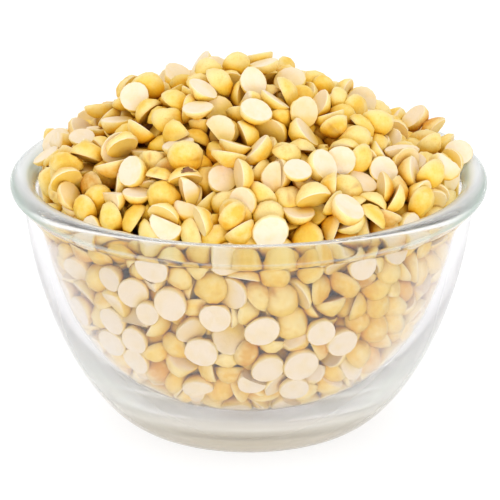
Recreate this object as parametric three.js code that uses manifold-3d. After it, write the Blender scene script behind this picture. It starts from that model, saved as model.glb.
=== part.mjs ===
// A round bowl of clear pressed glass, heaped with roasted gram: chickpeas that were roasted, husked and split into halves.
// Each half is a little dome on a flat cut face. Millimetres, +Z up, origin at the middle of the foot's underside.
import * as THREE from "three";
import { mergeVertices } from "three/addons/utils/BufferGeometryUtils.js";
import Module from "manifold-3d";

const wasm = await Module();
wasm.setup();

// ---- the bowl, in millimetres ----
const RIM_RADIUS = 60; // outermost, at the lip's bead
const HEIGHT = 64.6;
const FOOT_RADIUS = 31;
const FOOT_CHAMFER = 0.7;
const WALL_TOP_RADIUS = 56.9; // where the outer wall would meet the height, without the lip
const FLOOR_THICKNESS = 7;
const INNER_FLOOR_RADIUS = 22;
const INNER_TOP_RADIUS = 53.6;
const RECESS_RADIUS = 26; // the underside's shallow dish, inside the foot ring
const RECESS_DEPTH = 1;
const WALL_RISE = 1.93; // how fast both walls steepen
const OUTER_ROUNDNESS = 1.42; // the outer wall is the slimmer curve, so the glass thickens downwards
const INNER_ROUNDNESS = 2;
const BOWL_SEGMENTS = 40;
const INNER_HEIGHTS = [46, 33, 21, 13, 9]; // where the inner wall is drawn, from below the lip to above the floor

const LIP_CREST_RADIUS = 57.6; // the lip's highest line
const LIP_INNER_DROP = 4.2; // how far below the crest the inner wall starts
const LIP_BEAD_DROP = 2.6; // from the crest to the bead's widest line
const LIP_FOOT_DROP = 4.8; // from the crest to the bead's lower corner
const LIP_FOOT_INSET = 0.7;
const LIP_FILLET_DROP = 7.6; // from the crest to where the hollow under the bead meets the wall
const LIP_STEPS = 3;

// ---- the heap ----
const HEAP_PEAK = 93.4; // top of the heap over the table
const HEAP_SLOPE = 0.75; // fall for each millimetre outwards, far from the crown
const HEAP_CROWN_RADIUS = 25.4; // how broadly the crown is rounded
const GLASS_GAP = 0.4; // left between the pieces and the glass
const CORE_DEPTH = 1.5; // how far the plain core's edges lie inside the pieces' outer skin
const CORE_SEGMENTS = 14;

// ---- one split half ----
const GRAM_WIDTH = 7.7; // across the cut face
const GRAM_THICKNESS = 4.2; // from the cut face to the top of the dome
const GRAM_SIDES = 5;
const DOME_TOP_SHARE = 0.65; // width of the dome's top against the cut face
const SIZE_SPREAD = 0.1; // share by which halves differ in size
const OVAL_SPREAD = 0.12; // share by which a half can be narrower one way
const CUT_FACE_SHARE = 0.45; // share of the halves that show their cut face
const HEAP_PITCH = 8.8; // between neighbours on the heap and just below the rim
const WALL_PITCH = 12; // between neighbours against the glass, lower down
const SPARSE_BELOW = 52; // height under which the wider pitch holds
const ROW_SHARE = 0.88; // distance of one row to the next against the pitch
const HEAP_LEAN = 0.7; // most that a half leans on the heap, in radians
const WALL_LEAN = 0.35; // the same, against the glass
const HEAP_SINK = 0.9; // most that a half lies below the heap's outer skin
const PLACE_JITTER = 0.15; // share of the pitch by which a half is off its even place
const SEED = 20417;

// ---- helpers ----
function seededRandom(seed) {
  let state = seed >>> 0;
  return () => {
    state = (state + 0x6d2b79f5) >>> 0;
    let t = Math.imul(state ^ (state >>> 15), 1 | state);
    t = (t + Math.imul(t ^ (t >>> 7), 61 | t)) ^ t;
    return ((t ^ (t >>> 14)) >>> 0) / 4294967296;
  };
}

// Turns a profile of (radius, height) points, which starts and ends on the axis, about +Z.
function turned(profile, segments) {
  return new THREE.LatheGeometry(profile, segments).rotateX(Math.PI / 2);
}

// Joins the seam and drops the faces that have no area at the axis.
function toSolid(geometry) {
  const bare = new THREE.BufferGeometry();
  bare.setAttribute("position", geometry.getAttribute("position"));
  bare.setIndex(geometry.index);
  const merged = mergeVertices(bare, 1e-3);
  const corners = merged.index.array;
  const kept = [];
  for (let i = 0; i < corners.length; i += 3) {
    const [a, b, c] = corners.slice(i, i + 3);
    if (a !== b && b !== c && c !== a) kept.push(a, b, c);
  }
  return solidFrom(merged.getAttribute("position").array, kept);
}

function solidFrom(positions, faces) {
  const mesh = new wasm.Mesh({
    numProp: 3,
    vertProperties: new Float32Array(positions),
    triVerts: new Uint32Array(faces),
  });
  return new wasm.Manifold(mesh);
}

function toGeometry(solid) {
  const mesh = solid.getMesh();
  const geometry = new THREE.BufferGeometry();
  geometry.setAttribute("position", new THREE.BufferAttribute(mesh.vertProperties, 3));
  geometry.setIndex(new THREE.BufferAttribute(mesh.triVerts, 1));
  geometry.computeVertexNormals();
  return geometry;
}

// ---- the bowl ----
// A rounded bowl line: from bottomRadius at share 0 of the height to topRadius at share 1.
function bowlCurve(share, bottomRadius, topRadius, roundness) {
  const bulge = Math.pow(1 - Math.pow(1 - share, WALL_RISE), 1 / roundness);
  return bottomRadius + (topRadius - bottomRadius) * bulge;
}

function outerRadius(z) {
  return bowlCurve(z / HEIGHT, FOOT_RADIUS, WALL_TOP_RADIUS, OUTER_ROUNDNESS);
}

function innerRadius(z) {
  const share = (z - FLOOR_THICKNESS) / (HEIGHT - FLOOR_THICKNESS);
  const inside = Math.min(Math.max(share, 0), 1);
  return bowlCurve(inside, INNER_FLOOR_RADIUS, INNER_TOP_RADIUS, INNER_ROUNDNESS);
}

// The inner wall as it is built, straight between its heights and flat between its segments.
function builtInnerRadius(z) {
  const heights = [HEIGHT - LIP_INNER_DROP, ...INNER_HEIGHTS, FLOOR_THICKNESS];
  const below = Math.max(heights.findIndex((height) => height <= z), 1);
  const [top, bottom] = [heights[below - 1], heights[below]];
  const share = Math.min((z - bottom) / (top - bottom), 1);
  const radius = innerRadius(bottom) + (innerRadius(top) - innerRadius(bottom)) * share;
  return radius * Math.cos(Math.PI / BOWL_SEGMENTS);
}

// Points on an ellipse's arc, from one angle to another, both ends included.
function arc(centreRadius, centreZ, reachRadius, reachZ, from, to) {
  return Array.from({ length: LIP_STEPS + 1 }, (_, i) => {
    const angle = from + ((to - from) * i) / LIP_STEPS;
    return new THREE.Vector2(
      centreRadius + reachRadius * Math.cos(angle),
      centreZ + reachZ * Math.sin(angle),
    );
  });
}

function bowlProfile() {
  const beadZ = HEIGHT - LIP_BEAD_DROP;
  const filletZ = HEIGHT - LIP_FILLET_DROP;
  const innerTopZ = HEIGHT - LIP_INNER_DROP;
  const underside = [
    new THREE.Vector2(0, RECESS_DEPTH),
    new THREE.Vector2(RECESS_RADIUS - RECESS_DEPTH, RECESS_DEPTH),
    new THREE.Vector2(RECESS_RADIUS, 0),
    new THREE.Vector2(FOOT_RADIUS - FOOT_CHAMFER, 0),
  ];
  const outerHeights = [FOOT_CHAMFER, 4, 10, 19, 31, 44, filletZ];
  const outerWall = outerHeights.map((z) => new THREE.Vector2(outerRadius(z), z));
  const beadReach = RIM_RADIUS - LIP_CREST_RADIUS;
  const bead = [
    new THREE.Vector2(RIM_RADIUS - LIP_FOOT_INSET, HEIGHT - LIP_FOOT_DROP),
    ...arc(LIP_CREST_RADIUS, beadZ, beadReach, LIP_BEAD_DROP, 0, Math.PI / 2),
  ];
  const innerReach = LIP_CREST_RADIUS - innerRadius(innerTopZ);
  const innerLip = arc(LIP_CREST_RADIUS, innerTopZ, innerReach, LIP_INNER_DROP, Math.PI / 2, Math.PI);
  const innerWall = INNER_HEIGHTS.map((z) => new THREE.Vector2(innerRadius(z), z));
  const floor = [
    new THREE.Vector2(INNER_FLOOR_RADIUS, FLOOR_THICKNESS),
    new THREE.Vector2(0, FLOOR_THICKNESS),
  ];
  return [...underside, ...outerWall, ...bead, ...innerLip.slice(1), ...innerWall, ...floor];
}

// ---- the heap's skin: the line that the outermost pieces touch, from the crown down to the floor's edge ----
function heapTop(radius) {
  return HEAP_PEAK - HEAP_SLOPE * (Math.hypot(radius, HEAP_CROWN_RADIUS) - HEAP_CROWN_RADIUS);
}

function skinLine() {
  const edge = INNER_TOP_RADIUS - GLASS_GAP;
  const shoulder = heapTop(edge);
  const bottom = FLOOR_THICKNESS + GLASS_GAP;
  const steps = 100;
  const points = [];
  for (let i = 0; i <= steps; i++) {
    const radius = (edge * i) / steps;
    points.push(new THREE.Vector2(radius, heapTop(radius)));
  }
  for (let i = 1; i <= steps; i++) {
    const z = shoulder + ((bottom - shoulder) * i) / steps;
    points.push(new THREE.Vector2(innerRadius(z) - GLASS_GAP, z));
  }
  return points;
}

// The skin at a length from the crown: the point, and the direction that faces out of the food.
function skinAt(line, length) {
  let left = length;
  for (let i = 1; i < line.length; i++) {
    const step = line[i].distanceTo(line[i - 1]);
    if (left <= step) {
      const along = line[i].clone().sub(line[i - 1]).normalize();
      const point = line[i - 1].clone().addScaledVector(along, left);
      return { point, out: new THREE.Vector2(-along.y, along.x) };
    }
    left -= step;
  }
  return null;
}

// The skin pushed inwards.
function coreProfile() {
  const inset = CORE_DEPTH + GLASS_GAP;
  const topRadii = [0, 25, 50];
  const wallHeights = [60, 42, 28, 16];
  const top = topRadii.map((radius) => new THREE.Vector2(radius, heapTop(radius) - CORE_DEPTH));
  const wall = wallHeights.map((z) => new THREE.Vector2(innerRadius(z) - inset, z));
  const floor = [
    new THREE.Vector2(INNER_FLOOR_RADIUS, FLOOR_THICKNESS + inset),
    new THREE.Vector2(0, FLOOR_THICKNESS + inset),
  ];
  return [...top, ...wall, ...floor].reverse();
}

// ---- the split halves ----
// A half of width 1 and height 1 about its own middle: the cut face below, the dome's smaller top above.
function plainHalf() {
  const ring = (radius, z) =>
    Array.from({ length: GRAM_SIDES }, (_, i) => {
      const angle = (i / GRAM_SIDES) * Math.PI * 2;
      return new THREE.Vector3(radius * Math.cos(angle), radius * Math.sin(angle), z);
    });
  const corners = [...ring(0.5, -0.5), ...ring(0.5 * DOME_TOP_SHARE, 0.5)];
  const faces = [];
  for (let i = 1; i < GRAM_SIDES - 1; i++) {
    faces.push(0, i + 1, i);
    faces.push(GRAM_SIDES, GRAM_SIDES + i, GRAM_SIDES + i + 1);
  }
  for (let i = 0; i < GRAM_SIDES; i++) {
    const next = (i + 1) % GRAM_SIDES;
    faces.push(i, next, GRAM_SIDES + next);
    faces.push(i, GRAM_SIDES + next, GRAM_SIDES + i);
  }
  return { corners, faces };
}

// How far the corners reach past the gap that is kept to the glass.
function reachPast(corners) {
  const pastWall = corners.map((p) => Math.hypot(p.x, p.y) - (builtInnerRadius(p.z) - GLASS_GAP));
  const pastFloor = corners.map((p) => FLOOR_THICKNESS + GLASS_GAP - p.z);
  return Math.max(...pastWall, ...pastFloor);
}

// One half with its own size, oval and lean, its outermost corner on the skin or a little below it.
function placedHalf(corners, place, out, onHeap, random) {
  const up = new THREE.Vector3(0, 0, 1);
  const sideways = new THREE.Vector3(1, 0, 0);
  const size = 1 + SIZE_SPREAD * (2 * random() - 1);
  const oval = 1 - OVAL_SPREAD * random();
  const flip = random() < CUT_FACE_SHARE ? Math.PI : 0;
  const tilt = flip + (onHeap ? HEAP_LEAN : WALL_LEAN) * (2 * random() - 1);
  const lean = new THREE.Quaternion()
    .setFromUnitVectors(up, out)
    .multiply(new THREE.Quaternion().setFromAxisAngle(up, random() * Math.PI * 2))
    .multiply(new THREE.Quaternion().setFromAxisAngle(sideways, tilt))
    .multiply(new THREE.Quaternion().setFromAxisAngle(up, random() * Math.PI * 2));
  const measure = new THREE.Vector3(GRAM_WIDTH, GRAM_WIDTH * oval, GRAM_THICKNESS).multiplyScalar(size);
  const turnedCorners = corners.map((p) => p.clone().multiply(measure).applyQuaternion(lean));
  const reach = Math.max(...turnedCorners.map((p) => p.dot(out)));
  const sink = onHeap ? HEAP_SINK * random() : 0;
  const middle = place.clone().addScaledVector(out, -reach - sink);
  return turnedCorners.map((p) => p.add(middle));
}

// Moves a half away from the glass until it clears it.
function clearOfGlass(corners, out, onHeap) {
  const inward = new THREE.Vector3(-out.x, -out.y, onHeap ? 0 : -out.z).normalize();
  const mostMoves = 20;
  for (let move = 0; move < mostMoves; move++) {
    const past = reachPast(corners);
    if (past < 1e-3) return true;
    corners.forEach((p) => p.addScaledVector(inward, past));
  }
  return false;
}

// Rows of halves round the skin, from the crown down, over the core. One body, without loose halves or sealed hollows.
function heapSolid() {
  const random = seededRandom(SEED);
  const line = skinLine();
  const { corners, faces } = plainHalf();
  const solids = [toSolid(turned(coreProfile(), CORE_SEGMENTS))];
  let length = 0;
  for (let skin = skinAt(line, length); skin; skin = skinAt(line, length)) {
    const onHeap = skin.out.y > 0.3;
    const pitch = skin.point.y > SPARSE_BELOW ? HEAP_PITCH : WALL_PITCH;
    const count = Math.max(1, Math.round((2 * Math.PI * skin.point.x) / pitch));
    const phase = random();
    for (let i = 0; i < count; i++) {
      const jitter = PLACE_JITTER * (2 * random() - 1);
      const angle = ((i + phase + jitter) / count) * Math.PI * 2;
      const around = new THREE.Vector3(Math.cos(angle), Math.sin(angle), 0);
      const out = around.clone().multiplyScalar(skin.out.x).setZ(skin.out.y);
      const place = around.clone().multiplyScalar(skin.point.x).setZ(skin.point.y);
      const half = placedHalf(corners, place, out, onHeap, random);
      if (!clearOfGlass(half, out, onHeap)) continue;
      solids.push(solidFrom(half.flatMap((p) => [p.x, p.y, p.z]), faces));
    }
    length += pitch * ROW_SHARE;
  }
  const pieces = wasm.Manifold.union(solids).decompose();
  return pieces.reduce((largest, piece) => (piece.volume() > largest.volume() ? piece : largest));
}

// ---- the nodes ----
const clearGlass = new THREE.MeshStandardMaterial({
  color: 0xe9f1ee,
  roughness: 0.05,
  metalness: 0,
  transparent: true,
  opacity: 0.35,
});
const roastedGram = new THREE.MeshStandardMaterial({ color: 0xf3cf78, roughness: 0.6, metalness: 0 });

const bowl = new THREE.Mesh(turned(bowlProfile(), BOWL_SEGMENTS), clearGlass);
bowl.name = "bowl";
const heap = new THREE.Mesh(toGeometry(heapSolid()), roastedGram);
heap.name = "gram_heap";
const dish = new THREE.Group();
dish.add(bowl, heap);
export default dish;
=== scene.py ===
"""A round bowl of clear pressed glass, heaped with roasted gram: chickpeas that were roasted, husked and split.

Lengths in the named values are millimetres, and the meshes are made in metres. +Z is up, and the camera looks along +Y.
"""

import math

import bpy
import numpy as np
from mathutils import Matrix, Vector


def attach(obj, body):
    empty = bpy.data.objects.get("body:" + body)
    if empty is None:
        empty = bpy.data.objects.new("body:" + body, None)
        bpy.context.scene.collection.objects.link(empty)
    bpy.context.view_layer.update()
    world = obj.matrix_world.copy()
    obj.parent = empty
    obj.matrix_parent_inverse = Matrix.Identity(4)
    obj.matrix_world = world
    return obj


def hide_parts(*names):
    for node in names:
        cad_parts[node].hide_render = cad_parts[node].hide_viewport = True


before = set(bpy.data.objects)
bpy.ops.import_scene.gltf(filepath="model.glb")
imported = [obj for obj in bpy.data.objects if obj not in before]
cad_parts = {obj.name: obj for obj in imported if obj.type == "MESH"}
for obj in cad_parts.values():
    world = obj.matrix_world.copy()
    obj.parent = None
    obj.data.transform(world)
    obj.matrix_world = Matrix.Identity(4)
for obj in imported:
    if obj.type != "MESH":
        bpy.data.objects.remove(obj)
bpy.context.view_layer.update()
scene = bpy.context.scene
MM = 0.001

# ---- the bowl ----
RIM_RADIUS = 60.0
HEIGHT = 64.6
FOOT_RADIUS = 31.0
WALL_TOP_RADIUS = 56.9
FLOOR_THICKNESS = 7.0
INNER_FLOOR_RADIUS = 22.0
INNER_TOP_RADIUS = 53.6
RECESS_RADIUS = 26.0
RECESS_DEPTH = 1.0
WALL_RISE = 1.93
OUTER_ROUNDNESS = 1.42
INNER_ROUNDNESS = 2.0
LIP_CREST_RADIUS = 57.6
LIP_INNER_DROP = 4.2
LIP_BEAD_DROP = 2.6
LIP_FILLET_DROP = 7.6
LIP_FILLET_REACH = (1.6, 1.9)  # how far the fillet under the lip goes out and up
LIP_BEAD_START = -0.9  # radians below the level at which the bead leaves the fillet
RECESS_ROUNDING = [(-2.2, 1.0), (-1.2, 0.85), (-0.4, 0.3), (0.4, 0.0)]  # radius past the recess's, and height
FOOT_ROUNDING = [(-1.2, 0.0), (-0.4, 0.25)]  # radius past the foot's, and height
FOOT_TOP = 0.9  # where the outer wall starts
BOWL_SEGMENTS = 192
LIP_HAZE = (58.5, 61.5)  # the heights between which the wall turns into the cloudier lip
FOOT_HAZE = (13.0, 6.0)  # the heights between which it turns into the cloudier foot

# ---- the heap ----
HEAP_PEAK = 93.0
HEAP_SLOPE = 0.75  # how far the heap falls for each millimetre outwards
HEAP_CROWN_RADIUS = 25.4
CROWN_LIFT = 8.5  # how much higher the crown starts, because it sinks as the halves settle
CROWN_LIFT_RADIUS = 22.0
CROWN_LEAN = 4.0  # the crown stands this far left of the bowl's axis
LEAN_REACH = 45.0  # the lean fades to nothing at this radius
SHELL_DEPTH = 11.0  # the halves lie in a shell of this depth over the core
WALL_GAP = 0.35  # between the halves and the glass
HALF_COUNT = 1590
HALF_SPACING = 6.2  # the starting places push each other this far apart
UNEVEN_FROM = 50.0  # the height at which the heap's swells start to show
UNEVEN_FADE = 20.0  # and the height over which they grow to their full size

# ---- one split half ----
GRAM_WIDTH = 8.1
GRAM_THICKNESS = 3.6
CUT_EDGE_SHARE = 0.93  # the cut face's radius, as a share of the widest radius
OVALNESS = 0.06  # the most that the outline swells twice round, as a share of the radius
LOPSIDEDNESS = 0.04  # the most that it swells three times round
DOME_LEAN = 0.4  # how far the dome's top may stand to one side
GROOVE_PINCH = 0.1  # how far a full groove narrows the half, as a share of the radius
GROOVE_DROP = 0.2  # how far it lowers the dome, as a share of the height
CREASED_TOP_DROP = 0.08
CUT_DIP = 0.1  # how far the middle of the cut face may be hollowed, as a share of the thickness
PRESS_FIRMNESS = 0.85
MIDDLE_SHARE = 0.4  # the half's middle, as a share of the thickness over its cut face
RISE_POWER = (1.35, 1.5)  # the dome line's power on height: for a lens shape, and what a boxy one has more
ROUND_POWER = (1.4, 0.9)  # and its root, in the same way
BREAK_RISE = (0.1, 0.3)  # a broken face's least slope in radians, and the most that chance adds
BREAK_REACH = 0.25
BREAK_SHIFT = 0.15  # what is left of a broken half is moved back to its middle by this share of the width
BREAK_DEPTH = 0.1  # a corner that the break moved further than this is on the broken face
SEED = 20417
random = np.random.default_rng(SEED)


# ---- meshes ----
def put_mesh(name, corners_mm, faces, material):
    """A smooth mesh object from corners in millimetres and a list of faces."""
    mesh = bpy.data.meshes.new(name)
    mesh.from_pydata((np.asarray(corners_mm) * MM).tolist(), [], [list(map(int, face)) for face in faces])
    mesh.polygons.foreach_set("use_smooth", np.ones(len(mesh.polygons), bool))
    mesh.materials.append(material)
    mesh.update()
    piece = bpy.data.objects.new(name, mesh)
    scene.collection.objects.link(piece)
    return piece


def turned_surface(profile, segments):
    """A profile of (radius, height) carried round Z: x = r cos a, y = r sin a. Ends on the axis close to one point."""
    profile = np.asarray(profile, float)
    starts_on_axis = int(profile[0, 0] < 1e-6)
    ends_on_axis = int(profile[-1, 0] < 1e-6)
    rows = profile[starts_on_axis : len(profile) - ends_on_axis]
    angle = np.arange(segments) * 2 * math.pi / segments
    ring = np.stack([np.cos(angle), np.sin(angle)], 1)
    flat = rows[:, None, :1] * ring[None]
    heights = np.broadcast_to(rows[:, None, 1:], (len(rows), segments, 1))
    corners = np.concatenate([flat, heights], 2).reshape(-1, 3)
    faces = ring_faces(len(rows), segments, 0).tolist()
    i = np.arange(segments)
    j = (i + 1) % segments
    if starts_on_axis:
        faces += np.stack([np.full(segments, len(corners)), j, i], 1).tolist()
        corners = np.concatenate([corners, [[0, 0, profile[0, 1]]]])
    if ends_on_axis:
        last = (len(rows) - 1) * segments
        faces += np.stack([last + i, last + j, np.full(segments, len(corners))], 1).tolist()
        corners = np.concatenate([corners, [[0, 0, profile[-1, 1]]]])
    return corners, faces


def ring_faces(rows, segments, first):
    """The four-sided faces between rings of corners: (row, i), (row, i + 1), (row + 1, i + 1), (row + 1, i)."""
    row, column = np.meshgrid(np.arange(rows - 1), np.arange(segments), indexing="ij")
    a = first + row * segments + column
    b = first + row * segments + (column + 1) % segments
    return np.stack([a, b, b + segments, a + segments], 2).reshape(-1, 4)


# ---- the bowl's curves ----
def bowl_curve(share, bottom_radius, top_radius, roundness):
    """A rounded bowl line: b + (t - b) (1 - (1 - s)^p)^(1/q), with b and t its radii, p the rise, q the roundness."""
    share = np.clip(share, 0, 1)
    return bottom_radius + (top_radius - bottom_radius) * (1 - (1 - share) ** WALL_RISE) ** (1 / roundness)


def outer_radius(z):
    """The outer wall's radius at a height."""
    return bowl_curve(z / HEIGHT, FOOT_RADIUS, WALL_TOP_RADIUS, OUTER_ROUNDNESS)


def inner_radius(z):
    """The inner wall's radius at a height."""
    share = (z - FLOOR_THICKNESS) / (HEIGHT - FLOOR_THICKNESS)
    return bowl_curve(share, INNER_FLOOR_RADIUS, INNER_TOP_RADIUS, INNER_ROUNDNESS)


def heap_top(radius, lift=0.0):
    """The heap's height over the table: a cone whose crown is rounded as a hyperbola, and may be lifted by a bell."""
    cone = HEAP_PEAK - HEAP_SLOPE * (np.hypot(radius, HEAP_CROWN_RADIUS) - HEAP_CROWN_RADIUS)
    return cone + lift * np.exp(-((radius / CROWN_LIFT_RADIUS) ** 2))


# Swells and hollows of the poured heap: x, y, width of the bell, height. A hollow makes the right shoulder's step.
HEAP_SWELLS = [(-13, 2, 10, 1.5), (19, 3, 7, 3.5), (34, 4, 11, -7.5), (-33, 3, 8, -1.0)]
HEAP_WAIST = (39.0, 7.0, -1.6)  # a shallow ring-shaped hollow: radius, width of the bell, height


def heap_offset(points):
    """How far the uneven heap stands over the even one at each point.

    The difference of the cone about the leaning crown and the cone about the axis, a bell for each swell, and one for
    the waist. All fade to nothing further down in the bowl.
    """
    x, y, z = points.T
    radius = np.hypot(x, y)
    lean = CROWN_LEAN * np.clip(1 - (radius / LEAN_REACH) ** 2, 0, 1)
    rise = heap_top(np.hypot(x + lean, y)) - heap_top(radius)
    for swell_x, swell_y, width, height in HEAP_SWELLS:
        rise += height * np.exp(-((x - swell_x) ** 2 + (y - swell_y) ** 2) / width**2)
    rise += HEAP_WAIST[2] * np.exp(-(((radius - HEAP_WAIST[0]) / HEAP_WAIST[1]) ** 2))
    return rise * np.clip((z - UNEVEN_FROM) / UNEVEN_FADE, 0, 1)


def arc(centre, reach, start, end, steps):
    """Points on an ellipse's arc from one angle to another."""
    angle = np.linspace(start, end, steps + 1)
    return np.stack([centre[0] + reach[0] * np.cos(angle), centre[1] + reach[1] * np.sin(angle)], 1)


def bowl_profile():
    """The glass's outline from the middle of the underside, up the outer wall, over the lip and down the inner wall."""
    bead_z = HEIGHT - LIP_BEAD_DROP
    inner_top_z = HEIGHT - LIP_INNER_DROP
    fillet_z = HEIGHT - LIP_FILLET_DROP
    recess = [[0, RECESS_DEPTH]] + [[RECESS_RADIUS + past, z] for past, z in RECESS_ROUNDING]
    foot = [[FOOT_RADIUS + past, z] for past, z in FOOT_ROUNDING]
    outer_z = np.concatenate([[FOOT_TOP], np.linspace(2, fillet_z - 1.5, 40)])
    outer = np.stack([outer_radius(outer_z), outer_z], 1)
    wall_end = float(outer_radius(fillet_z))
    fillet = arc((wall_end + LIP_FILLET_REACH[0], fillet_z), LIP_FILLET_REACH, math.pi, math.pi / 2, 6)
    bead_reach = (RIM_RADIUS - LIP_CREST_RADIUS, LIP_BEAD_DROP)
    bead = arc((LIP_CREST_RADIUS, bead_z), bead_reach, LIP_BEAD_START, math.pi / 2, 16)
    inner_reach = LIP_CREST_RADIUS - float(inner_radius(inner_top_z))
    inner_lip = arc((LIP_CREST_RADIUS, inner_top_z), (inner_reach, LIP_INNER_DROP), math.pi / 2, math.pi, 14)
    inner_z = FLOOR_THICKNESS + (inner_top_z - FLOOR_THICKNESS) * np.linspace(1, 0, 60)[1:-1] ** 1.4
    inner = np.stack([inner_radius(inner_z), inner_z], 1)
    floor = [[INNER_FLOOR_RADIUS, FLOOR_THICKNESS], [0, FLOOR_THICKNESS]]
    return np.concatenate([recess, foot, outer, fillet, bead, inner_lip[1:], inner, floor])


# ---- the shapes of split halves ----
def dome_radius(height, boxiness):
    """The dome's share of the half width at a share of its height: (1 - height^p)^(1/q).

    Low powers p and q give a crisp edge, like a lens, and high ones give a drum with a flat top.
    """
    rise = RISE_POWER[0] + RISE_POWER[1] * boxiness
    return (1 - height**rise) ** (1 / (ROUND_POWER[0] + ROUND_POWER[1] * boxiness))


def drawn_shape():
    """Chance values for one half's shape, each drawn in this order."""
    return {
        "oval": random.uniform(0, 1),
        "lopsided": random.uniform(0, 1),
        "oval_turn": random.uniform(0, 2 * math.pi),
        "lopsided_turn": random.uniform(0, 2 * math.pi),
        "lean": random.uniform(-1, 1, 2),
        "dip": random.uniform(-0.3, 1),
        "boxiness": random.uniform(0, 1),
        "press_turns": random.uniform(0, 2 * math.pi, 3),
        "press_rises": random.uniform(0.15, 1.15, 3),
        "press_reaches": random.uniform(0.76, 0.96, 3),
    }


def pressed_flat(corners, turn, rise, reach, firmness):
    """Corners past a plane come back towards it: c - firmness n max(n.c - d, 0).

    The plane's distance d is a share of the way from the middle of the cut face to the dome, (r cos rise, t sin rise).
    """
    normal = np.array([math.cos(turn) * math.cos(rise), math.sin(turn) * math.cos(rise), math.sin(rise)])
    distance = reach * math.hypot(0.5 * GRAM_WIDTH * math.cos(rise), GRAM_THICKNESS * math.sin(rise))
    over = np.clip(corners @ normal - distance, 0, None)
    return corners - firmness * over[:, None] * normal, over


def half_shape(sides, heights, shape, kind):
    """The corners and faces of one half, and how cream and how creased each corner is.

    Rings of corners rise from the cut face's edge to the dome's top. A ring's radius is the dome's, times
    1 + a cos 2t + b cos 3t for an oval and lopsided outline. The dome leans with height and is pressed flat in up to
    three places. On a creased half a groove runs up one spoke, over the top and half way down the other side. A
    broken half ends at a steep plane.
    """
    rings = dome_radius(heights, shape["boxiness"])
    rings[0] = CUT_EDGE_SHARE
    rings[1] = 1.0
    angle = np.arange(sides) * 2 * math.pi / sides
    outline = 1 + OVALNESS * shape["oval"] * np.cos(2 * (angle - shape["oval_turn"]))
    outline += LOPSIDEDNESS * shape["lopsided"] * np.cos(3 * (angle - shape["lopsided_turn"]))
    groove = np.zeros((len(heights), sides))
    if kind == "creased":
        # How deep the groove is at each ring: on its own spoke, on the next one, and on the far side.
        groove[1:, 0] = [0.4, 0.8, 1.0, 0.9, 0.6]
        groove[2:, 1] = [0.3, 0.4, 0.4, 0.3]
        groove[2:, sides // 2] = [0.0, 0.2, 0.5, 0.6]
    radius = 0.5 * GRAM_WIDTH * rings[:, None] * outline[None] * (1 - GROOVE_PINCH * groove)
    height = GRAM_THICKNESS * heights[:, None] * (1 - GROOVE_DROP * groove)
    x = radius * np.cos(angle) + DOME_LEAN * shape["lean"][0] * heights[:, None]
    y = radius * np.sin(angle) + DOME_LEAN * shape["lean"][1] * heights[:, None]
    middle = [[0, 0, CUT_DIP * shape["dip"] * GRAM_THICKNESS]]
    top_drop = CREASED_TOP_DROP * (kind == "creased")
    apex = [[DOME_LEAN * shape["lean"][0], DOME_LEAN * shape["lean"][1], GRAM_THICKNESS * (1 - top_drop)]]
    corners = np.concatenate([middle, np.stack([x, y, height], 2).reshape(-1, 3), apex])
    creased = np.concatenate([[0], groove.reshape(-1), [0.4 * (kind == "creased")]])
    for turn, rise, reach in zip(shape["press_turns"], shape["press_rises"], shape["press_reaches"]):
        corners, _ = pressed_flat(corners, turn, rise, reach, PRESS_FIRMNESS)
    cream = np.zeros(len(corners))
    cream[: sides + 1] = 1
    if kind == "broken":
        break_rise = BREAK_RISE[0] + BREAK_RISE[1] * shape["oval"]
        corners, over = pressed_flat(corners, shape["oval_turn"], break_rise, BREAK_REACH, 1.0)
        cream[over > BREAK_DEPTH] = 1
        kept_side = np.array([-math.cos(shape["oval_turn"]), -math.sin(shape["oval_turn"]), 0])
        corners -= BREAK_SHIFT * GRAM_WIDTH * kept_side
    corners[:, 2] -= MIDDLE_SHARE * GRAM_THICKNESS
    i = np.arange(sides)
    j = (i + 1) % sides
    last = 1 + (len(heights) - 1) * sides
    faces = np.stack([np.zeros(sides, int), 1 + j, 1 + i], 1).tolist()
    faces += ring_faces(len(heights), sides, 1).tolist()
    faces += np.stack([last + i, last + j, np.full(sides, len(corners) - 1)], 1).tolist()
    return corners, faces, cream, creased


# For each kind: its number of sides, the shares of the thickness at its rings, how many shapes it has, and its share.
HALF_KINDS = {
    "smooth": (16, np.array([0.0, 0.08, 0.45, 0.82]), 10, 0.72),
    "creased": (14, np.array([0.0, 0.07, 0.28, 0.55, 0.76, 0.92]), 6, 0.17),
    "broken": (16, np.array([0.0, 0.08, 0.45, 0.82]), 5, 0.11),
}
HULL_SIDES = 8  # the plainer halves that the solver takes
HULL_HEIGHTS = np.array([0.0, 0.07, 0.38, 0.75])
shape_kinds = [kind for kind, values in HALF_KINDS.items() for _ in range(values[2])]
drawn_shapes = [drawn_shape() for _ in shape_kinds]


# ---- where the halves lie ----
def skin_outline(lift=0.0):
    """The line that bounds the food in (radius, height): the heap's top, then the glass down to the floor's middle."""
    top_r = np.linspace(0, INNER_TOP_RADIUS, 50)
    wall_z = np.linspace(heap_top(INNER_TOP_RADIUS), FLOOR_THICKNESS, 60)[1:]
    floor_r = np.linspace(INNER_FLOOR_RADIUS, 0, 14)[1:]
    return np.concatenate([
        np.stack([top_r, heap_top(top_r, lift)], 1),
        np.stack([inner_radius(wall_z), wall_z], 1),
        np.stack([floor_r, np.full(len(floor_r), FLOOR_THICKNESS)], 1),
    ])


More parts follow.
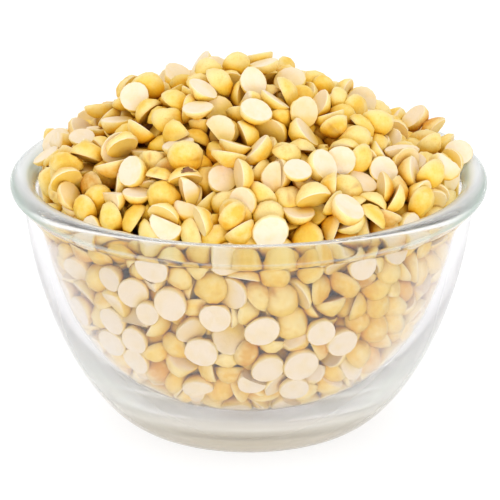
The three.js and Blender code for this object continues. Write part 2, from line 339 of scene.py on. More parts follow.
def depth_under_skin(points, line):
    """How far each point lies inside the outline, and the outward direction there.

    The nearest point on each of the outline's segments is found, and the nearest of these counts.
    """
    radius = np.hypot(points[:, 0], points[:, 1])
    here = np.stack([radius, points[:, 2]], 1)
    start = line[:-1]
    step = line[1:] - start
    share = ((here[:, None] - start[None]) * step[None]).sum(2) / (step**2).sum(1)[None]
    nearest = start[None] + step[None] * np.clip(share, 0, 1)[..., None]
    distance = np.linalg.norm(here[:, None] - nearest, axis=2)
    best = distance.argmin(1)
    row = np.arange(len(points))
    outward = np.stack([-step[:, 1], step[:, 0]], 1) / np.linalg.norm(step, axis=1)[:, None]
    outward = outward[best]
    inside = ((here - nearest[row, best]) * outward).sum(1) <= 0
    depth = np.where(inside, distance[row, best], -distance[row, best])
    side = points[:, :2] / np.maximum(radius, 1e-6)[:, None]
    return depth, np.stack([side[:, 0] * outward[:, 0], side[:, 1] * outward[:, 0], outward[:, 1]], 1)


CHANCE_POINTS = 30000
PUSH_ROUNDS = 30
PUSH_STRENGTH = 0.3
DRAWN_DEPTHS = (2.5, SHELL_DEPTH - 1.5)  # the points that are drawn between these depths are used
KEPT_DEPTHS = (2.8, SHELL_DEPTH - 2)  # and they stay between these, as they push each other apart


def starting_places(count, line):
    """Points spread evenly through the shell: random draws that push each other apart and are kept in the shell."""
    low = [-INNER_TOP_RADIUS, -INNER_TOP_RADIUS, FLOOR_THICKNESS]
    high = [INNER_TOP_RADIUS, INNER_TOP_RADIUS, HEAP_PEAK + CROWN_LIFT]
    points = random.uniform(low, high, (CHANCE_POINTS, 3))
    depth = depth_under_skin(points, line)[0]
    points = points[(depth > DRAWN_DEPTHS[0]) & (depth < DRAWN_DEPTHS[1])][:count]
    for _ in range(PUSH_ROUNDS):
        apart = points[:, None] - points[None]
        distance = np.sqrt((apart**2).sum(2)) + np.eye(len(points)) * 100
        push = np.clip(HALF_SPACING - distance, 0, None) / distance * PUSH_STRENGTH
        points = points + (apart * push[..., None]).sum(1)
        depth, outward = depth_under_skin(points, line)
        back = np.clip(KEPT_DEPTHS[0] - depth, 0, None) + np.clip(KEPT_DEPTHS[1] - depth, None, 0)
        points -= outward * back[:, None]
    return points


def turned_by(first, second):
    """The product of two rows of quaternions: the second turn, then the first."""
    w1, x1, y1, z1 = first.T
    w2, x2, y2, z2 = second.T
    return np.stack([
        w1 * w2 - x1 * x2 - y1 * y2 - z1 * z2,
        w1 * x2 + x1 * w2 + y1 * z2 - z1 * y2,
        w1 * y2 - x1 * z2 + y1 * w2 + z1 * x2,
        w1 * z2 + x1 * y2 - y1 * x2 + z1 * w2,
    ], 1)


def facing_turns(outward, tilt_size):
    """Quaternions that turn the cut face to a direction, about a chance spin and with a chance tilt."""
    spin = random.uniform(0, math.pi, len(outward))
    zero = np.zeros(len(outward))
    spun = np.stack([np.cos(spin), zero, zero, np.sin(spin)], 1)
    # The turn from -Z to the outward direction (a, b, c) has its axis at (b, -a, 0).
    facing = np.stack([1 - outward[:, 2], outward[:, 1], -outward[:, 0], zero], 1) + [1e-6, 0, 0, 0]
    facing /= np.linalg.norm(facing, axis=1)[:, None]
    tilt = np.concatenate([np.ones((len(outward), 1)), random.normal(0, tilt_size, (len(outward), 3))], 1)
    tilt /= np.linalg.norm(tilt, axis=1)[:, None]
    return turned_by(tilt, turned_by(facing, spun))


# ---- letting them settle ----
SETTLING_SCALE = 100.0  # the bodies settle a hundred times larger, because the solver is made for metres
FIRST_SIZE = 0.72  # the share of their full size at which the halves start
GROW_FRAMES = 10
REST_FRAMES = 20
FALL = -20.0  # about twice the usual pull, so that 30 frames are enough
HALF_FRICTION = 1.5
WALL_FRICTION = 0.5
CORE_FRICTION = 2.0
LINEAR_DAMPING = 0.5
ANGULAR_DAMPING = 0.6
COLLISION_MARGIN = 0.01
SUBSTEPS = 6
SOLVER_ROUNDS = 10
SOLVER_WALL_SEGMENTS = 40
SOLVER_CORE_SEGMENTS = 32


CORE_WALL_TOP = 57.0
CORE_SHOULDER_RADIUS = 39.0
CORE_LEAST_RADIUS = 3.0
CORE_SEGMENTS = 64
CORE_DEPTHS = (SHELL_DEPTH - 1.5, SHELL_DEPTH - 2)  # the shown core lies a little less deep than the solver's


def core_surface(depth, low_z, segments):
    """The closed inner body under the halves: the inner wall and the heap's top, both moved inwards by the depth."""
    wall_z = np.linspace(FLOOR_THICKNESS + low_z, CORE_WALL_TOP, 10)
    side = np.stack([np.maximum(inner_radius(wall_z) - depth, CORE_LEAST_RADIUS), wall_z], 1)
    top_r = np.linspace(CORE_SHOULDER_RADIUS, 0, 14)
    top = np.stack([top_r, heap_top(top_r) - depth], 1)
    corners, faces = turned_surface(np.concatenate([[[0, FLOOR_THICKNESS + low_z]], side, top]), segments)
    lifted = corners + np.array([0, 0, depth])
    corners[:, 2] += heap_offset(lifted)
    return corners, faces


def settle(places, shapes, sizes, turns):
    """Lets the halves swell from three quarters to their full size and come to rest on each other, glass and core.

    Returns one 4 by 4 matrix for each half, in millimetres.
    """
    scale = SETTLING_SCALE * MM
    helpers = []

    def helper_mesh(name, corners, faces):
        """A mesh for the solver alone."""
        mesh = bpy.data.meshes.new(name)
        mesh.from_pydata((corners * scale).tolist(), [], [list(map(int, face)) for face in faces])
        return mesh

    def helper(name, mesh):
        """An object for the solver alone."""
        piece = bpy.data.objects.new(name, mesh)
        scene.collection.objects.link(piece)
        helpers.append(piece)
        return piece

    wall_z = np.linspace(FLOOR_THICKNESS, HEIGHT - 1, 16)
    wall_line = np.stack([inner_radius(wall_z) - WALL_GAP, wall_z], 1)
    wall_line = np.concatenate([[[0.1, FLOOR_THICKNESS + WALL_GAP]], wall_line, [[LIP_CREST_RADIUS, HEIGHT]]])
    wall = helper("settling_wall", helper_mesh("settling_wall", *turned_surface(wall_line, SOLVER_WALL_SEGMENTS)))
    core_parts = core_surface(SHELL_DEPTH, SHELL_DEPTH, SOLVER_CORE_SEGMENTS)
    core = helper("settling_core", helper_mesh("settling_core", *core_parts))
    hulls = []
    for shape, kind in zip(drawn_shapes, shape_kinds):
        corners, faces, _, _ = half_shape(HULL_SIDES, HULL_HEIGHTS, shape, "broken" if kind == "broken" else "smooth")
        hulls.append(helper_mesh("settling_half", corners, faces))
    halves = []
    for i, place in enumerate(places):
        half = helper(f"settling_{i:04d}", hulls[shapes[i]])
        half.location = place * scale
        half.rotation_mode = "QUATERNION"
        half.rotation_quaternion = turns[i]
        half.scale = sizes[i] * FIRST_SIZE
        halves.append(half)
    bpy.context.view_layer.update()
    bpy.ops.rigidbody.world_add()
    world = scene.rigidbody_world

    def add_bodies(pieces, kind):
        """Makes rigid bodies of the pieces."""
        for piece in helpers:
            piece.select_set(False)
        for piece in pieces:
            piece.select_set(True)
        bpy.context.view_layer.objects.active = pieces[0]
        bpy.ops.rigidbody.objects_add(type=kind)

    add_bodies(halves, "ACTIVE")
    add_bodies([wall, core], "PASSIVE")
    for half in halves:
        half.rigid_body.collision_shape = "CONVEX_HULL"
        half.rigid_body.friction = HALF_FRICTION
        half.rigid_body.restitution = 0.0
        half.rigid_body.linear_damping = LINEAR_DAMPING
        half.rigid_body.angular_damping = ANGULAR_DAMPING
    for piece, friction in ((wall, WALL_FRICTION), (core, CORE_FRICTION)):
        piece.rigid_body.collision_shape = "MESH"
        piece.rigid_body.friction = friction
        piece.rigid_body.use_margin = True
        piece.rigid_body.collision_margin = COLLISION_MARGIN
    scene.gravity = (0, 0, FALL)
    world.substeps_per_frame = SUBSTEPS
    world.solver_iterations = SOLVER_ROUNDS
    world.point_cache.frame_start = 1
    world.point_cache.frame_end = GROW_FRAMES + REST_FRAMES + 1
    for step in range(1, GROW_FRAMES + REST_FRAMES + 1):
        if step <= GROW_FRAMES:
            size = FIRST_SIZE + (1 - FIRST_SIZE) * step / GROW_FRAMES
            for half, own in zip(halves, sizes):
                half.scale = own * size
        scene.frame_set(step)
    matrices = np.array([np.array(half.matrix_world) for half in halves])
    matrices[:, :3, 3] /= scale
    bpy.ops.rigidbody.world_remove()
    scene.frame_set(1)
    for piece in helpers:
        mesh = piece.data
        bpy.data.objects.remove(piece)
        if mesh.users == 0:
            bpy.data.meshes.remove(mesh)
    return matrices


# ---- materials ----
def linear(colour):
    """A #rrggbb colour as the linear numbers that shaders take."""
    parts = [int(colour[i : i + 2], 16) / 255 for i in (1, 3, 5)]
    return [c / 12.92 if c <= 0.04045 else ((c + 0.055) / 1.055) ** 2.4 for c in parts] + [1.0]


def add(material, kind, settings=None, **sockets):
    """Adds a node to a material. Settings are its own values; sockets are values, or another node's output to link."""
    node = material.node_tree.nodes.new(kind)
    for name, value in (settings or {}).items():
        setattr(node, name, value)
    for name, value in sockets.items():
        by_number = name[0] == "_"
        socket = node.inputs[int(name[1:])] if by_number else node.inputs[name.replace("_", " ")]
        if isinstance(value, bpy.types.NodeSocket):
            material.node_tree.links.new(value, socket)
        else:
            socket.default_value = value
    return node


def new_material(name):
    """An empty node material."""
    material = bpy.data.materials.new(name)
    material.use_nodes = True
    material.node_tree.nodes.clear()
    return material


# The domes' colours, from the palest half to the most toasted: the share of all halves up to it, and the colour.
DOME_TONES = [
    (0.0, "#fae29a"),
    (0.3, "#f8d872"),
    (0.62, "#f6ce59"),
    (0.87, "#f2c34f"),
    (0.96, "#e8ae4a"),
    (1.0, "#cf9a44"),
]


def gram_material():
    """Roasted chickpea halves: dry, matt, faintly waxy.

    The dome is golden, in a tone of its own for each half. It is paler in 3 mm blotches and towards its edge, more
    toasted between them, and has brown specks of a third of a millimetre. The cut face is cream, and creases are
    brown. The blotches also raise the surface a little. What lies deeper in the heap, or turns away from the light, has
    painted warm shade, and where halves meet within 2.5 mm a crisp brown line of painted contact shadow lies between
    them.
    """
    m = new_material("roasted_gram_half")
    cut = add(m, "ShaderNodeAttribute", {"attribute_name": "cut_face"}).outputs["Fac"]
    tone = add(m, "ShaderNodeAttribute", {"attribute_name": "tone"}).outputs["Fac"]
    height = add(m, "ShaderNodeAttribute", {"attribute_name": "dome_height"}).outputs["Fac"]
    crease = add(m, "ShaderNodeAttribute", {"attribute_name": "crease"}).outputs["Fac"]
    shade = add(m, "ShaderNodeAttribute", {"attribute_name": "shade"}).outputs["Fac"]
    place = add(m, "ShaderNodeTexCoord").outputs["Object"]
    mix = {"data_type": "RGBA"}
    ramp = add(m, "ShaderNodeValToRGB", Fac=tone)
    ramp.color_ramp.elements[0].color = linear(DOME_TONES[0][1])
    ramp.color_ramp.elements[1].color = linear(DOME_TONES[-1][1])
    for position, colour in DOME_TONES[1:-1]:
        ramp.color_ramp.elements.new(position).color = linear(colour)
    blotches = add(m, "ShaderNodeTexNoise", Vector=place, Scale=330.0, Detail=4.0, Roughness=0.6).outputs["Fac"]
    blotch_share = add(
        m, "ShaderNodeMapRange", Value=blotches,
        From_Min=0.45, From_Max=0.68, To_Min=0.0, To_Max=0.6,
    ).outputs[0]
    toast_share = add(
        m, "ShaderNodeMapRange", Value=blotches,
        From_Min=0.46, From_Max=0.3, To_Min=0.0, To_Max=0.45,
    ).outputs[0]
    golden = add(m, "ShaderNodeMix", mix, _0=blotch_share, _6=ramp.outputs["Color"], _7=linear("#fae6a6")).outputs[2]
    golden = add(m, "ShaderNodeMix", mix, _0=toast_share, _6=golden, _7=linear("#e9b03c")).outputs[2]
    low = add(
        m, "ShaderNodeMapRange", Value=height,
        From_Min=0.1, From_Max=0.5, To_Min=0.75, To_Max=0.0,
    ).outputs[0]
    golden = add(m, "ShaderNodeMix", mix, _0=low, _6=golden, _7=linear("#fbe8ac")).outputs[2]
    speckle = add(m, "ShaderNodeTexNoise", Vector=place, Scale=3000.0, Detail=1.0).outputs["Fac"]
    speck_share = add(
        m, "ShaderNodeMapRange", Value=speckle,
        From_Min=0.62, From_Max=0.75, To_Min=0.0, To_Max=0.3,
    ).outputs[0]
    golden = add(m, "ShaderNodeMix", mix, _0=speck_share, _6=golden, _7=linear("#cf8f3a")).outputs[2]
    crease_share = add(
        m, "ShaderNodeMapRange", Value=crease,
        From_Min=0.5, From_Max=1.0, To_Min=0.0, To_Max=0.45,
    ).outputs[0]
    golden = add(m, "ShaderNodeMix", mix, _0=crease_share, _6=golden, _7=linear("#b9772f")).outputs[2]
    cream = add(m, "ShaderNodeMix", mix, _0=blotch_share, _6=linear("#f8e7cc"), _7=linear("#f5deaa")).outputs[2]
    colour = add(m, "ShaderNodeMix", mix, _0=cut, _6=golden, _7=cream).outputs[2]
    # Painted shade: the colour is darkened and warmed by how deep each point lies in the heap and how far it turns from
    # the light.
    painted_warm_shade = add(m, "ShaderNodeValToRGB", Fac=shade)
    painted_warm_shade.color_ramp.elements[0].color = (1, 1, 1, 1)
    painted_warm_shade.color_ramp.elements[1].color = linear("#c8941c")
    painted_warm_shade.color_ramp.elements.new(0.35).color = linear("#fbea8c")
    multiply = {"data_type": "RGBA", "blend_type": "MULTIPLY"}
    colour = add(m, "ShaderNodeMix", multiply, _0=1.0, _6=colour, _7=painted_warm_shade.outputs["Color"]).outputs[2]
    # Painted contact shadow: ambient occlusion darkens the colour to brown where halves meet within 2.5 mm.
    near = add(m, "ShaderNodeAmbientOcclusion", {"samples": 6, "only_local": True}, Distance=0.0025).outputs["AO"]
    brown = add(m, "ShaderNodeValToRGB", Fac=near)
    brown.color_ramp.elements[0].color = linear("#c89a2a")
    brown.color_ramp.elements[1].position = 0.95
    brown.color_ramp.elements[1].color = (1, 1, 1, 1)
    brown.color_ramp.elements.new(0.55).color = linear("#fdf6b4")
    colour = add(m, "ShaderNodeMix", multiply, _0=1.0, _6=colour, _7=brown.outputs["Color"]).outputs[2]
    bump = add(m, "ShaderNodeBump", Strength=0.6, Distance=0.0005, Height=blotches).outputs["Normal"]
    shader = add(m, "ShaderNodeBsdfPrincipled", Base_Color=colour, Roughness=0.5, Normal=bump)
    shader.inputs["Specular IOR Level"].default_value = 0.3
    add(m, "ShaderNodeOutputMaterial", Surface=shader.outputs[0])
    return m


def husk_material():
    """Chickpea husk that clung on in the roaster: dry, papery and thin, brown with darker veins 0.5 mm apart."""
    m = new_material("roasted_husk_bit")
    place = add(m, "ShaderNodeTexCoord").outputs["Object"]
    veins = add(m, "ShaderNodeTexNoise", Vector=place, Scale=2000.0, Detail=2.0).outputs["Fac"]
    mix = {"data_type": "RGBA"}
    colour = add(m, "ShaderNodeMix", mix, _0=veins, _6=linear("#a8713f"), _7=linear("#6d4233")).outputs[2]
    bump = add(m, "ShaderNodeBump", Strength=0.4, Distance=0.0001, Height=veins).outputs["Normal"]
    shader = add(m, "ShaderNodeBsdfPrincipled", Base_Color=colour, Roughness=0.65, Normal=bump)
    add(m, "ShaderNodeOutputMaterial", Surface=shader.outputs[0])
    return m


# The glass seen edge-on, from the foot to the lip: the share of the bowl's height, the colour, and how strongly it
# shows.
# The lip's green is the thick glass's own tint. The paleness over it, the grey and lavender of the wall and the pale
# crest are painted reflection and highlight. The beige foot is painted shade and reflection of the food.
GLASS_EDGE = [
    (0.05, "#bfb5a2", 0.8),
    (0.3, "#dbe1db", 0.65),
    (0.55, "#dedde5", 0.45),
    (0.85, "#e3e2ea", 0.4),
    (0.87, "#e3e2ea", 0.0),
    (0.925, "#b0c0b6", 0.0),
    (0.945, "#b0c0b6", 1.0),
    (0.988, "#b5c4bb", 1.0),
    (1.0, "#e4e8ea", 1.0),
]


def glass_material():
    """Soda-lime glass, pressed and fire-polished: clear, with soft reflections, faintly cloudy at the lip and the foot.

    Seen square on, the wall is nearly clear, and the foot carries a beige tint of painted shade and reflection of the
    food. Seen edge-on, it turns pale and cloudy: green at the lip, the thick glass's own tint under a painted
    reflection of the white room, lavender-grey in the wall, a painted reflection, and beige at the foot, painted shade
    and reflection of the food. The lip's crest carries a painted white highlight. The mould leaves a fine haze on the
    thick lip and foot. Ripples 20 mm long run over it all. Shadow rays pass straight through, so the food behind the
    glass is lit as brightly as it is in the real bowl.
    """
    m = new_material("pressed_clear_glass")
    mix = {"data_type": "RGBA"}
    place = add(m, "ShaderNodeTexCoord").outputs["Object"]
    height = add(m, "ShaderNodeSeparateXYZ", Vector=place).outputs["Z"]
    lip = add(
        m, "ShaderNodeMapRange", Value=height,
        From_Min=LIP_HAZE[0] * MM, From_Max=LIP_HAZE[1] * MM,
    ).outputs[0]
    foot = add(
        m, "ShaderNodeMapRange", Value=height,
        From_Min=FOOT_HAZE[0] * MM, From_Max=FOOT_HAZE[1] * MM,
    ).outputs[0]
    haze = add(m, "ShaderNodeMath", {"operation": "MAXIMUM"}, _0=lip, _1=foot).outputs[0]
    roughness = add(m, "ShaderNodeMapRange", Value=haze, To_Min=0.04, To_Max=0.12).outputs[0]
    tint = add(m, "ShaderNodeMix", mix, _0=lip, _6=linear("#fdfcfd"), _7=linear("#fbfdfb")).outputs[2]
    # Painted shade and reflection of the food above: the foot is tinted beige.
    tint = add(m, "ShaderNodeMix", mix, _0=foot, _6=tint, _7=linear("#c6baa4")).outputs[2]
    edge_on = add(m, "ShaderNodeLayerWeight", Blend=0.5).outputs["Facing"]
    edge_on = add(m, "ShaderNodeMapRange", Value=edge_on, From_Min=0.35, From_Max=0.65).outputs[0]
    level = add(m, "ShaderNodeMapRange", Value=height, From_Max=HEIGHT * MM).outputs[0]
    edge = add(m, "ShaderNodeValToRGB", Fac=level)
    edge.color_ramp.elements.remove(edge.color_ramp.elements[1])
    for position, colour, share in GLASS_EDGE:
        stop = edge.color_ramp.elements.new(position)
        stop.color = linear(colour)[:3] + [share]
    edge.color_ramp.elements.remove(edge.color_ramp.elements[0])
    # Edge-on, colour from the table above replaces part of the clear glass: the lip's own green tint, and elsewhere
    # painted reflection, highlight and shade.
    edge_sheen_and_tint = add(m, "ShaderNodeMath", {"operation": "MULTIPLY"}, _0=edge_on, _1=edge.outputs["Alpha"]).outputs[0]
    tint = add(m, "ShaderNodeMix", mix, _0=edge_sheen_and_tint, _6=tint, _7=edge.outputs["Color"]).outputs[2]
    clearness = add(m, "ShaderNodeMapRange", Value=edge_sheen_and_tint, To_Min=0.98, To_Max=0.25).outputs[0]
    ripples = add(m, "ShaderNodeTexNoise", Vector=place, Scale=50.0, Detail=1.0).outputs["Fac"]
    bump = add(m, "ShaderNodeBump", Strength=0.05, Distance=0.001, Height=ripples).outputs["Normal"]
    look = {"Base_Color": tint, "Roughness": roughness, "Transmission_Weight": clearness}
    glass = add(m, "ShaderNodeBsdfPrincipled", **look, IOR=1.45, Normal=bump)
    through = add(m, "ShaderNodeBsdfTransparent", Color=linear("#fcfdfd"))
    lamp = add(m, "ShaderNodeLightPath").outputs["Is Shadow Ray"]
    both = add(m, "ShaderNodeMixShader", _0=lamp, _1=glass.outputs[0], _2=through.outputs[0])
    add(m, "ShaderNodeOutputMaterial", Surface=both.outputs[0])
    return m


def core_material():
    """The deep gaps between the halves: gram in brown shade, mottled at the 7 mm size of the halves."""
    m = new_material("gram_in_deep_shade")
    place = add(m, "ShaderNodeTexCoord").outputs["Object"]
    cells = add(m, "ShaderNodeTexVoronoi", Vector=place, Scale=150.0).outputs["Distance"]
    mix = {"data_type": "RGBA"}
    colour = add(m, "ShaderNodeMix", mix, _0=cells, _6=linear("#96591a"), _7=linear("#5c330c")).outputs[2]
    shader = add(m, "ShaderNodeBsdfPrincipled", Base_Color=colour, Roughness=0.8)
    add(m, "ShaderNodeOutputMaterial", Surface=shader.outputs[0])
    return m


def table_material():
    """A sweep of white paper, lit through from below to stay white under the bowl, with a faint 17 mm mottle."""
    m = new_material("white_paper_sweep")
    place = add(m, "ShaderNodeTexCoord").outputs["Object"]
    grain = add(m, "ShaderNodeTexNoise", Vector=place, Scale=60.0).outputs["Fac"]
    mix = {"data_type": "RGBA"}
    colour = add(m, "ShaderNodeMix", mix, _0=grain, _6=linear("#8c8c8c"), _7=linear("#929292")).outputs[2]
    shader = add(m, "ShaderNodeBsdfPrincipled", Base_Color=colour, Roughness=0.9)
    shader.inputs["Emission Color"].default_value = (1, 1, 1, 1)
    shader.inputs["Emission Strength"].default_value = 0.82
    add(m, "ShaderNodeOutputMaterial", Surface=shader.outputs[0])
    return m


# ---- the pieces ----
SHADE_START = 1.5
SHADE_DEPTH = 6.5
SLOPE_SHARE = 0.8  # the nearest point on a slope is at this share of the way straight up or outwards
CROWN_HEIGHTS = (72.0, 15.0)  # where the crown starts, and how high it is
TURNED_UNDER = 0.35  # the most shade that a face gets for turning away from the light
LIT_COSINE = 0.5  # faces that look more towards the light than this get none


def warm_shade(points):
    """How far into the brown shade of the heap each point is: 0 in the outermost 1.5 mm, 1 from 8 mm inwards.

    The depth is the least of the distances to the heap's top, the glass wall and the glass floor, straight up,
    outwards and down, the first two cut to 0.8 for their slope. The crown, which light reaches from all sides, has
    half of it.
    """
    radius = np.hypot(points[:, 0], points[:, 1])
    top = heap_top(radius) + heap_offset(points)
    to_top = SLOPE_SHARE * (top - points[:, 2])
    to_wall = SLOPE_SHARE * (inner_radius(points[:, 2]) - radius)
    depth = np.minimum(np.minimum(to_top, to_wall), points[:, 2] - FLOOR_THICKNESS)
    crown = np.clip((points[:, 2] - CROWN_HEIGHTS[0]) / CROWN_HEIGHTS[1], 0, 1)
    return np.clip((depth - SHADE_START) / SHADE_DEPTH, 0, 1) * (1 - 0.5 * crown)


def turned_under(matrices, own, corner_index, cut_corners, open_side):
    """How far each corner of each face turns away from the light: 0.35 max(0.5 - n.l, 0), at most 0.35.

    The direction n is the cut face's own there, and elsewhere the corner's from the middle of its half. The direction
    l lies half way between straight up and the way out of the heap.
    """
    middle_out = np.einsum("nij,nkj->nki", matrices[:, :3, :3], own)
    directions = (middle_out / np.linalg.norm(middle_out, axis=2, keepdims=True))[:, corner_index]
    cut_side = -matrices[:, :3, 2] / np.linalg.norm(matrices[:, :3, 2], axis=1, keepdims=True)
    directions[:, :cut_corners] = cut_side[:, None]
    light = open_side + [0, 0, 1]
    light = light / np.linalg.norm(light, axis=1, keepdims=True)
    return TURNED_UNDER * np.clip(LIT_COSINE - np.einsum("nkj,nj->nk", directions, light), 0, 1)


def joined_halves(name, kind, matrices, shapes, tones, open_side, material):
    """All halves of one kind in one mesh: every half's corners are its shape's corners through its own matrix."""
    sides, heights = HALF_KINDS[kind][:2]
    made = [half_shape(sides, heights, shape, kind) for shape in drawn_shapes]
    own = np.array([corners for corners, _, _, _ in made])[shapes]
    faces = made[0][1]
    corners = np.einsum("nij,nkj->nki", matrices[:, :3, :3], own) + matrices[:, None, :3, 3]
    count, each = own.shape[:2]
    corner_index = np.concatenate([np.array(face) for face in faces])
    totals = np.tile([len(face) for face in faces], count)
    all_index = (corner_index[None] + np.arange(count)[:, None] * each).reshape(-1)
    mesh = bpy.data.meshes.new(name)
    mesh.vertices.add(count * each)
    mesh.vertices.foreach_set("co", (corners.reshape(-1) * MM).astype(np.float32))
    mesh.loops.add(len(all_index))
    mesh.loops.foreach_set("vertex_index", all_index.astype(np.int32))
    mesh.polygons.add(len(totals))
    mesh.polygons.foreach_set("loop_start", np.concatenate([[0], np.cumsum(totals)[:-1]]).astype(np.int32))
    mesh.polygons.foreach_set("use_smooth", np.ones(len(totals), bool))
    mesh.update(calc_edges=True)
    ends = np.empty(len(mesh.edges) * 2, np.int32)
    mesh.edges.foreach_get("vertices", ends)
    on_cut_edge = ((ends % each >= 1) & (ends % each <= sides)).reshape(-1, 2).all(1)
    mesh.attributes.new("sharp_edge", "BOOLEAN", "EDGE").data.foreach_set("value", on_cut_edge)
    values = {
        "cut_face": np.array([cream for _, _, cream, _ in made])[shapes].reshape(-1),
        "crease": np.array([creased for _, _, _, creased in made])[shapes].reshape(-1),
        "dome_height": np.tile(np.concatenate([[0], np.repeat(heights, sides), [1]]), count),
        "tone": np.repeat(tones, each),
    }
    for label, value in values.items():
        mesh.attributes.new(label, "FLOAT", "POINT").data.foreach_set("value", value.astype(np.float32))
    shade = turned_under(matrices, own, corner_index, 3 * sides, open_side).reshape(-1)
    shade += warm_shade(corners.reshape(-1, 3))[all_index]
    mesh.attributes.new("shade", "FLOAT", "CORNER").data.foreach_set("value", shade.astype(np.float32))
    mesh.materials.append(material)
    piece = bpy.data.objects.new(name, mesh)
    scene.collection.objects.link(piece)
    return piece


def dress(piece, node):
    """A piece rides on the one body and stands for a node, which is hidden."""
    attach(piece, "root")
    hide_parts(node)


SIZE_RANGE = (0.92, 1.13)  # a half's width, as a share of the usual one
SMALL_SHARE = 0.05  # this share of the halves is small
SMALL_RANGE = (0.55, 0.8)
BREADTH_RANGE = (0.88, 1.0)  # how much less a half's breadth is scaled than its width
THICKNESS_RANGE = (0.85, 1.15)  # and how much less or more its thickness is
OUTER_LAYER = 6.0  # halves that start less deep than this may be turned to lie flat
FLUSH_SHARE = 0.2  # of these, this share shows its cut face
DOMED_SHARE = 0.5  # and those from there to this share show their dome
FLUSH_TILT = 0.12
DOMED_TILT = 0.35
PAINTED_CROWN_LIGHT = (75.0, 15.0, 0.4)  # painted light: where the crown's tones get paler as if lit more, over what height, and by what share of the tone
STRAY_HEIGHT = 2.5  # a half whose middle rose further than this out of the heap is left out

outline = skin_outline()
start_outline = skin_outline(CROWN_LIFT)
places = starting_places(HALF_COUNT, start_outline)
count = len(places)
kind_shares = np.array([HALF_KINDS[kind][3] / HALF_KINDS[kind][2] for kind in shape_kinds])
shapes = random.choice(len(shape_kinds), count, p=kind_shares)
widths = random.uniform(*SIZE_RANGE, count)
widths *= np.where(random.uniform(0, 1, count) < SMALL_SHARE, random.uniform(*SMALL_RANGE, count), 1.0)
breadths = widths * random.uniform(*BREADTH_RANGE, count)
sizes = np.stack([widths, breadths, widths * random.uniform(*THICKNESS_RANGE, count)], 1)
turns = random.normal(size=(count, 4))
turns /= np.linalg.norm(turns, axis=1)[:, None]
start_depth, start_outward = depth_under_skin(places, start_outline)
facing = np.where(start_depth < OUTER_LAYER, random.uniform(0, 1, count), 1.0)
flush = facing < FLUSH_SHARE
domed = (facing > FLUSH_SHARE) & (facing < DOMED_SHARE)
turns[flush] = facing_turns(start_outward[flush], FLUSH_TILT)
turns[domed] = facing_turns(-start_outward[domed], DOMED_TILT)
# Painted light: halves high on the crown take paler tones, as if more brightly lit.
pale = PAINTED_CROWN_LIGHT[2] * np.clip((places[:, 2] - PAINTED_CROWN_LIGHT[0]) / PAINTED_CROWN_LIGHT[1], 0, 1)
tones = random.uniform(0, 1, count) * (1 - pale)
places[:, 2] += heap_offset(places)
matrices = settle(places, shapes, sizes, turns)

centres = matrices[:, :3, 3].copy()
centres[:, 2] -= heap_offset(centres)
depth, outward = depth_under_skin(centres, outline)
kept = (centres[:, 2] > FLOOR_THICKNESS) & (depth > -STRAY_HEIGHT)
kept &= np.hypot(centres[:, 0], centres[:, 1]) < INNER_TOP_RADIUS

gram = gram_material()
for kind in HALF_KINDS:
    of_kind = kept & np.array([shape_kinds[shape] == kind for shape in shapes])
    own_values = (matrices[of_kind], shapes[of_kind], tones[of_kind], outward[of_kind])
    halves = joined_halves(f"gram_{kind}_halves", kind, *own_values, gram)
    dress(halves, "gram_heap")


# ---- husk bits that cling to a few domes ----
HUSK_BITS = 12
HUSK_ROWS = 5
HUSK_LIFT = 0.12  # between a bit and its dome
HUSK_THICKNESS = 0.15
HUSK_DEPTH = 4.5  # bits cling to halves that lie less deep than this
HUSK_FACING = 0.35  # and whose domes face outwards by at least this cosine
# A bit's start turn, sweep, lower and upper height as a share of the dome: the least and the most.
HUSK_PATCH = ([0, 0.4, 0.15, 0.4], [2 * math.pi, 0.9, 0.35, 0.65])


def husk_bit(shape, matrix, start_turn, sweep, bottom, top, edge):
    """A patch of skin on a dome: a grid of turn and height just outside the dome, with a second layer under it.

    The patch narrows towards its upper end, and its edge wavers.
    """
    across, up = np.meshgrid(np.linspace(-0.5, 0.5, HUSK_ROWS), np.linspace(0, 1, HUSK_ROWS), indexing="ij")
    turn = start_turn + sweep * across * (1 - 0.6 * up) + 0.15 * edge
    height = bottom + (top - bottom) * up + 0.05 * edge
    radius = 0.5 * GRAM_WIDTH * dome_radius(height, shape["boxiness"])
    dome = np.stack([
        radius * np.cos(turn) + DOME_LEAN * shape["lean"][0] * height,
        radius * np.sin(turn) + DOME_LEAN * shape["lean"][1] * height,
        GRAM_THICKNESS * height - MIDDLE_SHARE * GRAM_THICKNESS,
    ], 2).reshape(-1, 3)
    away = dome / np.linalg.norm(dome, axis=1)[:, None]
    corners = np.concatenate([dome + away * (HUSK_LIFT + HUSK_THICKNESS), dome + away * HUSK_LIFT])
    side = HUSK_ROWS
    i, j = np.meshgrid(np.arange(side - 1), np.arange(side - 1), indexing="ij")
    a = (i * side + j).reshape(-1)
    upper = np.stack([a, a + side, a + side + 1, a + 1], 1)
    lower = upper[:, ::-1] + side * side
    n = np.arange(side)
    border = np.concatenate([n * side, (side - 1) * side + n[1:], side * n[::-1][1:] + side - 1, n[::-1][1:-1]])
    after = np.roll(border, -1)
    rim = np.stack([after, border, border + side * side, after + side * side], 1)
    corners = corners @ matrix[:3, :3].T + matrix[:3, 3]
    return corners, np.concatenate([upper, lower, rim])


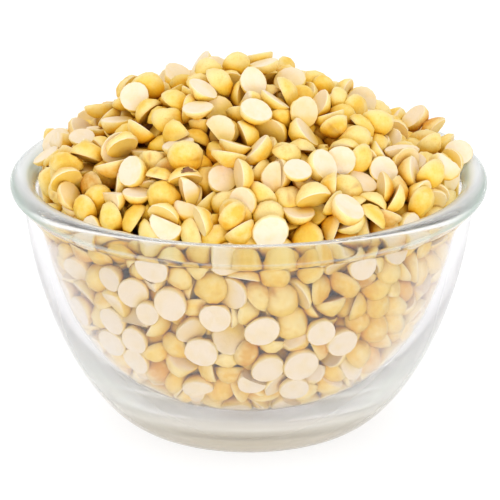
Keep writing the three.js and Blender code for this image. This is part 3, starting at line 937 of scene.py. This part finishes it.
dome_outwards = (matrices[:, :3, 2] / np.linalg.norm(matrices[:, :3, 2], axis=1)[:, None] * outward).sum(1)
plain = np.array([shape_kinds[shape] == "smooth" for shape in shapes])
hosts = np.where(kept & plain & (depth < HUSK_DEPTH) & (dome_outwards > HUSK_FACING))[0]
chosen = random.choice(hosts, HUSK_BITS, replace=False)
husk_corners = []
husk_faces = []
for host in chosen:
    start_turn, sweep, bottom, top = random.uniform(*HUSK_PATCH)
    edge = random.uniform(-1, 1, (HUSK_ROWS, HUSK_ROWS))
    corners, faces = husk_bit(drawn_shapes[shapes[host]], matrices[host], start_turn, sweep, bottom, top, edge)
    husk_faces.append(faces + sum(len(c) for c in husk_corners))
    husk_corners.append(corners)
husk = put_mesh("gram_husk_bits", np.concatenate(husk_corners), np.concatenate(husk_faces), husk_material())
dress(husk, "gram_heap")

core = put_mesh("gram_core", *core_surface(*CORE_DEPTHS, CORE_SEGMENTS), core_material())
dress(core, "gram_heap")

bowl = put_mesh("glass_bowl", *turned_surface(bowl_profile(), BOWL_SEGMENTS), glass_material())
dress(bowl, "bowl")

# ---- the white table, light and camera ----
TABLE_REACH = 2500.0
ROOM_LIGHT = 0.89
table_corners = np.array([[-1, -1, 0], [1, -1, 0], [1, 1, 0], [-1, 1, 0]]) * TABLE_REACH
table = put_mesh("table", table_corners, [[0, 1, 2, 3]], table_material())

world = bpy.data.worlds.new("white_room")
scene.world = world
world.use_nodes = True
world.node_tree.nodes["Background"].inputs["Color"].default_value = (1, 1, 1, 1)
world.node_tree.nodes["Background"].inputs["Strength"].default_value = ROOM_LIGHT


def softbox(name, place, aim, width, height, power):
    """A rectangular area light at a place in metres, turned to a point. It leaves no bright patch in the glass."""
    light = bpy.data.lights.new(name, "AREA")
    light.shape = "RECTANGLE"
    light.size = width
    light.size_y = height
    light.energy = power
    lamp = bpy.data.objects.new(name, light)
    scene.collection.objects.link(lamp)
    lamp.location = place
    lamp.visible_glossy = False
    lamp.visible_transmission = False
    lamp.rotation_euler = (Vector(aim) - Vector(place)).to_track_quat("-Z", "Y").to_euler()


softbox("top_softbox", (-0.02, -0.03, 0.45), (0, 0, 0.08), 0.4, 0.4, 0.3)
softbox("front_softbox", (0.1, -0.95, 0.06), (0, 0, 0.04), 0.6, 0.4, 4.7)
softbox("back_softbox", (-0.1, 0.9, 0.3), (0, 0, 0.06), 0.6, 0.4, 2.6)

CAMERA_DISTANCE = 650.0
CAMERA_ELEVATION = math.radians(21.05)
PIXELS_PER_MM = 3.902
PICTURE_WIDTH = 500
SENSOR_WIDTH = 36.0
CAMERA_PIVOT_Z = 32.0  # the elevation is measured from about the middle of the bowl's height
CAMERA_AIM = (0.33, 0, 42.3)
LIGHT_BOUNCES = 32
camera_data = bpy.data.cameras.new("camera")
camera_data.sensor_width = SENSOR_WIDTH
camera_data.lens = SENSOR_WIDTH * PIXELS_PER_MM * CAMERA_DISTANCE / PICTURE_WIDTH
camera = bpy.data.objects.new("camera", camera_data)
scene.collection.objects.link(camera)
camera_z = CAMERA_PIVOT_Z + CAMERA_DISTANCE * math.sin(CAMERA_ELEVATION)
camera.location = Vector((0, -CAMERA_DISTANCE * math.cos(CAMERA_ELEVATION), camera_z)) * MM
aim = Vector(CAMERA_AIM) * MM
camera.rotation_euler = (aim - camera.location).to_track_quat("-Z", "Y").to_euler()
scene.camera = camera
scene.view_settings.view_transform = "Standard"
# Light bounces inside the thick lip many times, and too few bounces would leave it black.
scene.cycles.max_bounces = LIGHT_BOUNCES
scene.cycles.glossy_bounces = LIGHT_BOUNCES
scene.cycles.transmission_bounces = LIGHT_BOUNCES
scene.cycles.transparent_max_bounces = LIGHT_BOUNCES
